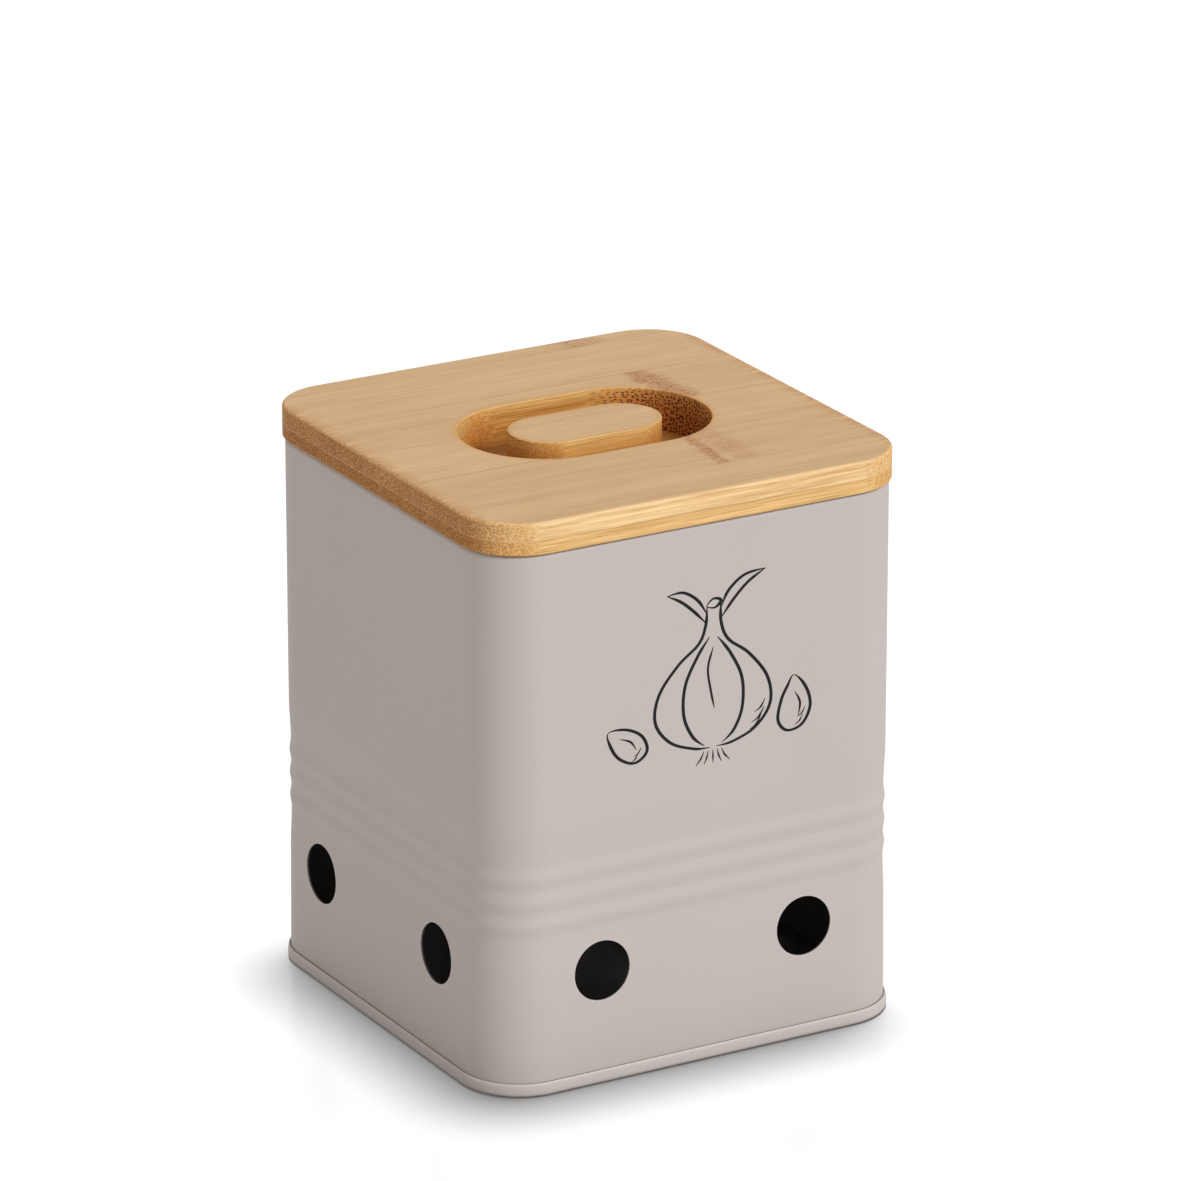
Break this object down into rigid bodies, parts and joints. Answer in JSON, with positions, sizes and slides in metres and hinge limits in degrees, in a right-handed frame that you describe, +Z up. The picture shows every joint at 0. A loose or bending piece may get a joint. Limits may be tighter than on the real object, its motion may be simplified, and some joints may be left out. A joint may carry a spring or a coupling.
{
  "type": "garlic keeper",
  "caption": "Square sheet-metal keeper for garlic with round vent holes and rolled grooves low on its sides, and a thick lift-off bamboo lid with a grip standing in a routed pocket.",
  "frame": {"origin": "middle of the footprint, on the surface that the tin stands on", "axes": "+Z up; -Y is the front that carries the print; +X to the right seen from the front, along the lid's grain and its grip"},
  "size_m": [0.1344, 0.1344, 0.167],
  "materials": {
    "powder_coat": "matt warm greige powder coat",
    "bamboo": "sanded and oiled, satin",
    "bamboo_core": "sanded and oiled, satin",
    "silicone": "translucent white silicone, matt"
  },
  "bodies": {
    "tin": {"tin_base": "powder_coat", "tin_wall": "powder_coat"},
    "lid": {"grip_core_strip_3": "bamboo_core", "grip_core_strip_4": "bamboo_core", "grip_top_strip_3": "bamboo", "grip_top_strip_4": "bamboo", "lid_bottom_strip_1": "bamboo", "lid_bottom_strip_2": "bamboo", "lid_bottom_strip_3": "bamboo", "lid_bottom_strip_4": "bamboo", "lid_bottom_strip_5": "bamboo", "lid_core_strip_1": "bamboo_core", "lid_core_strip_2": "bamboo_core", "lid_core_strip_3": "bamboo_core", "lid_core_strip_4_left": "bamboo_core", "lid_core_strip_4_right": "bamboo_core", "lid_core_strip_5": "bamboo_core", "lid_core_strip_6": "bamboo_core", "lid_seal": "silicone", "lid_top_strip_1": "bamboo", "lid_top_strip_2": "bamboo", "lid_top_strip_3_left": "bamboo", "lid_top_strip_3_right": "bamboo", "lid_top_strip_4": "bamboo", "lid_top_strip_5": "bamboo", "lid_top_strip_6": "bamboo"}
  },
  "joints": [
    {"name": "lid_lift", "type": "slide", "parent": "tin", "child": "lid", "axis": [0, 0, 1], "range_m": [0, 0.06]}
  ]
}
